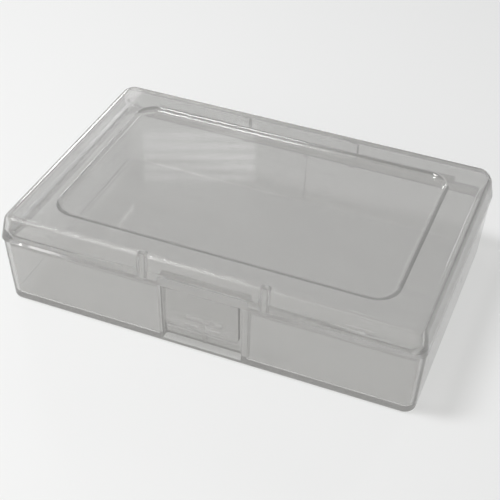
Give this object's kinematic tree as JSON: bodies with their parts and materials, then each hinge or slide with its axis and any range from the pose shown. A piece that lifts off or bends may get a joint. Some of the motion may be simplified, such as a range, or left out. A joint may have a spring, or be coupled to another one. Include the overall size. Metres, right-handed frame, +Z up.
{
  "type": "card deck box",
  "caption": "Hinged clear plastic snap box for a deck of cards: tapered tray, flared lid with a recessed top panel, film hinge at the rear and a sprung latch tongue in a front thumb recess.",
  "frame": {"origin": "middle of the face that the box rests on", "axes": "+X along the long front wall towards the right, +Y towards the hinge, +Z up"},
  "size_m": [0.1, 0.0656, 0.024],
  "materials": {
    "clear_moulding": "clear, slightly hazy moulded polypropylene with a glossy skin",
    "hinge_film": "thin flexed polypropylene film, whitened a little by bending"
  },
  "bodies": {
    "base": {"base_tray": "clear_moulding", "latch_catch": "clear_moulding", "hinge_web_left": "hinge_film", "hinge_web_right": "hinge_film"},
    "lid": {"lid_shell": "clear_moulding"},
    "tongue": {"latch_tongue": "clear_moulding"}
  },
  "joints": [
    {"name": "lid_hinge", "type": "hinge", "parent": "base", "child": "lid", "pos_m": [0, 0.0326, 0.0173], "axis": [-1, 0, 0], "range_deg": [0, 180], "deforming": ["hinge_web_left", "hinge_web_right"]},
    {"name": "latch_flex", "type": "hinge", "parent": "lid", "child": "tongue", "pos_m": [0, -0.03148, 0.0168], "axis": [-1, 0, 0], "range_deg": [0, 8], "stiffness_Nm_per_rad": 0.7}
  ]
}
